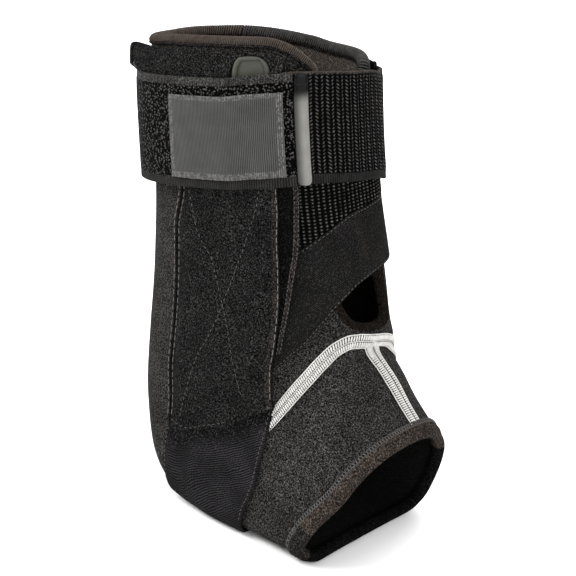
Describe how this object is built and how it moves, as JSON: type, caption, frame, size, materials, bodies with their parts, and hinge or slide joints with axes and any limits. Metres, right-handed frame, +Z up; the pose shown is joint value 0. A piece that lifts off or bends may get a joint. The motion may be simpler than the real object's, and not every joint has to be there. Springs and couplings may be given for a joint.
{
  "type": "ankle brace",
  "caption": "Boot-shaped fabric ankle brace, open at the toes, with stayed side panels, a strap under the heel, a diagonal front strap and a wrap strap round the top.",
  "frame": {"origin": "middle of the flat underside of the strap under the heel, on the middle line", "axes": "+Z up the leg, +X towards the toes, -Y the side with the label and the tab"},
  "size_m": [0.1546, 0.0907, 0.2212],
  "materials": {
    "fleece": "brushed loop fabric",
    "sleeve": "laminated padded knit",
    "binding": "overlocked edging",
    "toe_fleece": "folded fleece edging",
    "rib": "ribbed elastic",
    "satin": "woven satin",
    "thread": "thread",
    "tab": "smooth moulded",
    "stay": "smooth moulded"
  },
  "bodies": {
    "root": {"leg_sleeve": "sleeve", "foot_sleeve": "sleeve", "collar_binding": "binding", "toe_binding": "toe_fleece", "side_panel_near": "fleece", "stay_near": "stay", "under_panel_near": "fleece", "side_panel_far": "fleece", "stay_far": "stay", "under_panel_far": "fleece", "heel_strap": "rib", "diagonal_strap": "fleece", "front_elastic": "rib", "wrap_strap": "rib", "strap_label": "satin", "strap_tab": "tab", "instep_seam": "thread", "toe_seam": "thread"}
  },
  "joints": []
}
